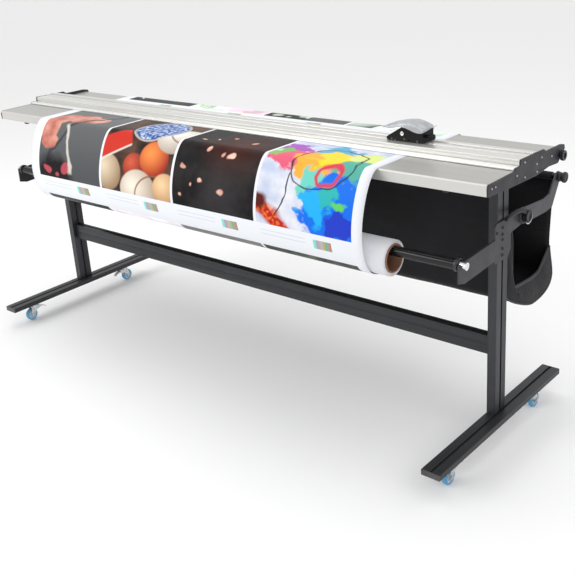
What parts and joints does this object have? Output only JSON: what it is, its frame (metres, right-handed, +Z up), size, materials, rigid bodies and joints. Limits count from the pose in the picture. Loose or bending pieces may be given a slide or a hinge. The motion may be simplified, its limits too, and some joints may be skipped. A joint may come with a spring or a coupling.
{
  "type": "media trimmer with stand",
  "caption": "Wide-format trimmer on a wheeled stand, with a sliding blade carriage, a printed roll on a rod in front and a cloth catch bag behind.",
  "frame": {"origin": "on the floor, below the middle of the bed and of the feet", "axes": "+X along the bed, to the operator's right; -Y towards the operator; +Z up"},
  "size_m": [2.21, 0.734, 0.9545],
  "materials": {
    "black_frame": "satin black anodised",
    "plate": "matt charcoal powder coat",
    "arm": "matt dark grey powder coat",
    "bed": "brushed, clear anodised",
    "strip": "satin",
    "mat": "matt white",
    "steel": "zinc plated",
    "bolt": "black oxide",
    "chrome": "polished",
    "black_plastic": "fine texture",
    "grey_cover": "satin grey",
    "nylon": "natural",
    "rubber": "matt",
    "rod": "gloss black",
    "blue_tyre": "clear blue polyurethane",
    "hub": "translucent",
    "card": "brown spiral-wound board",
    "paper": "satin white print media",
    "cloth": "black polyester"
  },
  "bodies": {
    "stand": {"foot_left": "black_frame", "foot_right": "black_frame", "foot_end_caps": "black_frame", "column_left": "black_frame", "column_right": "black_frame", "cross_beam": "black_frame", "frame_bolts": "bolt", "caster_stems": "steel", "table_cradles": "black_frame", "table_bumpers": "rubber", "front_table": "bed", "bed_beam": "bed", "cutting_strip": "mat", "rear_table": "bed", "rail_front": "bed", "rail_rear": "bed", "end_plate_left": "plate", "end_plate_right": "plate", "plate_screws": "steel", "side_bracket_left": "plate", "side_bracket_right": "plate", "media_web": "paper", "catch_bag": "cloth", "bag_hem_bar": "bed"},
    "carriage": {"carriage_body": "black_plastic", "carriage_cover": "grey_cover", "blade_axle": "steel"},
    "blade": {"cutting_blade": "chrome"},
    "roller_l": {"roller_left": "nylon"},
    "roller_r": {"roller_right": "nylon"},
    "depth_knob": {"depth_knob": "black_plastic"},
    "strip": {"pressure_strip": "strip"},
    "rod": {"media_rod": "rod", "media_rod_ends": "steel"},
    "roll": {"media_core": "card", "media_roll": "paper"},
    "rear_arms": {"rear_arm_left": "arm", "rear_arm_right": "arm", "hem_rod": "rod", "hem_rod_knobs": "rubber"},
    "lever_left": {"clamp_lever_left": "black_plastic"},
    "lever_right": {"clamp_lever_right": "black_plastic"},
    "lock_left": {"lock_knob_left": "black_plastic"},
    "lock_right": {"lock_knob_right": "black_plastic"},
    "swivel_front_left": {"fork_front_left": "steel"},
    "wheel_front_left": {"tyre_front_left": "blue_tyre", "hub_front_left": "hub"},
    "pedal_front_left": {"brake_front_left": "steel"},
    "swivel_front_right": {"fork_front_right": "steel"},
    "wheel_front_right": {"tyre_front_right": "blue_tyre", "hub_front_right": "hub"},
    "pedal_front_right": {"brake_front_right": "steel"},
    "swivel_rear_left": {"fork_rear_left": "steel"},
    "wheel_rear_left": {"tyre_rear_left": "blue_tyre", "hub_rear_left": "hub"},
    "pedal_rear_left": {"brake_rear_left": "steel"},
    "swivel_rear_right": {"fork_rear_right": "steel"},
    "wheel_rear_right": {"tyre_rear_right": "blue_tyre", "hub_rear_right": "hub"},
    "pedal_rear_right": {"brake_rear_right": "steel"}
  },
  "joints": [
    {"name": "carriage_slide", "type": "slide", "parent": "stand", "child": "carriage", "axis": [1, 0, 0], "range_m": [-1.7, 0.28]},
    {"name": "blade_spin", "type": "hinge", "parent": "carriage", "child": "blade", "pos_m": [0.706, 0.036, 0.9032], "axis": [0, 1, 0], "continuous": true},
    {"name": "roller_l_spin", "type": "hinge", "parent": "carriage", "child": "roller_l", "pos_m": [0.662, 0.036, 0.9003], "axis": [0, 1, 0], "continuous": true},
    {"name": "roller_r_spin", "type": "hinge", "parent": "carriage", "child": "roller_r", "pos_m": [0.75, 0.036, 0.9003], "axis": [0, 1, 0], "continuous": true},
    {"name": "depth_turn", "type": "hinge", "parent": "carriage", "child": "depth_knob", "pos_m": [0.77, 0.016, 0.9144], "axis": [1, 0, 0], "range_deg": [0, 360]},
    {"name": "strip_lift", "type": "slide", "parent": "stand", "child": "strip", "axis": [0, 0, 1], "range_m": [0, 0.003]},
    {"name": "rod_spin", "type": "hinge", "parent": "stand", "child": "rod", "pos_m": [0, -0.2, 0.6393], "axis": [1, 0, 0], "continuous": true},
    {"name": "roll_spin", "type": "hinge", "parent": "stand", "child": "roll", "pos_m": [0, -0.2, 0.6165], "axis": [1, 0, 0], "continuous": true},
    {"name": "rear_arms_fold", "type": "hinge", "parent": "stand", "child": "rear_arms", "pos_m": [0, 0.135, 0.681], "axis": [1, 0, 0], "range_deg": [-25, 10], "deforming": ["catch_bag"]},
    {"name": "lever_left_turn", "type": "hinge", "parent": "stand", "child": "lever_left", "pos_m": [-1.008, 0.135, 0.681], "axis": [1, 0, 0], "range_deg": [-45, 10]},
    {"name": "lever_right_turn", "type": "hinge", "parent": "stand", "child": "lever_right", "pos_m": [1.02, 0.135, 0.681], "axis": [1, 0, 0], "range_deg": [-45, 10]},
    {"name": "lock_left_turn", "type": "hinge", "parent": "stand", "child": "lock_left", "pos_m": [-1.095, 0.206, 0.852], "axis": [1, 0, 0], "range_deg": [0, 360]},
    {"name": "lock_right_turn", "type": "hinge", "parent": "stand", "child": "lock_right", "pos_m": [1.095, 0.206, 0.852], "axis": [1, 0, 0], "range_deg": [0, 360]},
    {"name": "swivel_front_left_turn", "type": "hinge", "parent": "stand", "child": "swivel_front_left", "pos_m": [-1.014, -0.258, 0.06], "axis": [0, 0, 1], "continuous": true},
    {"name": "wheel_front_left_spin", "type": "hinge", "parent": "swivel_front_left", "child": "wheel_front_left", "pos_m": [-1.014, -0.274, 0.025], "axis": [1, 0, 0], "continuous": true},
    {"name": "pedal_front_left_tilt", "type": "hinge", "parent": "swivel_front_left", "child": "pedal_front_left", "pos_m": [-1.014, -0.24, 0.05], "axis": [1, 0, 0], "range_deg": [0, 14]},
    {"name": "swivel_front_right_turn", "type": "hinge", "parent": "stand", "child": "swivel_front_right", "pos_m": [1.014, -0.258, 0.06], "axis": [0, 0, 1], "continuous": true},
    {"name": "wheel_front_right_spin", "type": "hinge", "parent": "swivel_front_right", "child": "wheel_front_right", "pos_m": [1.014, -0.274, 0.025], "axis": [1, 0, 0], "continuous": true},
    {"name": "pedal_front_right_tilt", "type": "hinge", "parent": "swivel_front_right", "child": "pedal_front_right", "pos_m": [1.014, -0.24, 0.05], "axis": [1, 0, 0], "range_deg": [0, 14]},
    {"name": "swivel_rear_left_turn", "type": "hinge", "parent": "stand", "child": "swivel_rear_left", "pos_m": [-1.014, 0.228, 0.06], "axis": [0, 0, 1], "continuous": true},
    {"name": "wheel_rear_left_spin", "type": "hinge", "parent": "swivel_rear_left", "child": "wheel_rear_left", "pos_m": [-1.014, 0.244, 0.025], "axis": [1, 0, 0], "continuous": true},
    {"name": "pedal_rear_left_tilt", "type": "hinge", "parent": "swivel_rear_left", "child": "pedal_rear_left", "pos_m": [-1.014, 0.21, 0.05], "axis": [-1, 0, 0], "range_deg": [0, 14]},
    {"name": "swivel_rear_right_turn", "type": "hinge", "parent": "stand", "child": "swivel_rear_right", "pos_m": [1.014, 0.228, 0.06], "axis": [0, 0, 1], "continuous": true},
    {"name": "wheel_rear_right_spin", "type": "hinge", "parent": "swivel_rear_right", "child": "wheel_rear_right", "pos_m": [1.014, 0.244, 0.025], "axis": [1, 0, 0], "continuous": true},
    {"name": "pedal_rear_right_tilt", "type": "hinge", "parent": "swivel_rear_right", "child": "pedal_rear_right", "pos_m": [1.014, 0.21, 0.05], "axis": [-1, 0, 0], "range_deg": [0, 14]}
  ],
  "couplings": [
    {"joint": "blade_spin", "follows": "carriage_slide", "rad_per_m": 33.333},
    {"joint": "roller_l_spin", "follows": "carriage_slide", "rad_per_m": 142.86},
    {"joint": "roller_r_spin", "follows": "carriage_slide", "rad_per_m": 142.86}
  ]
}
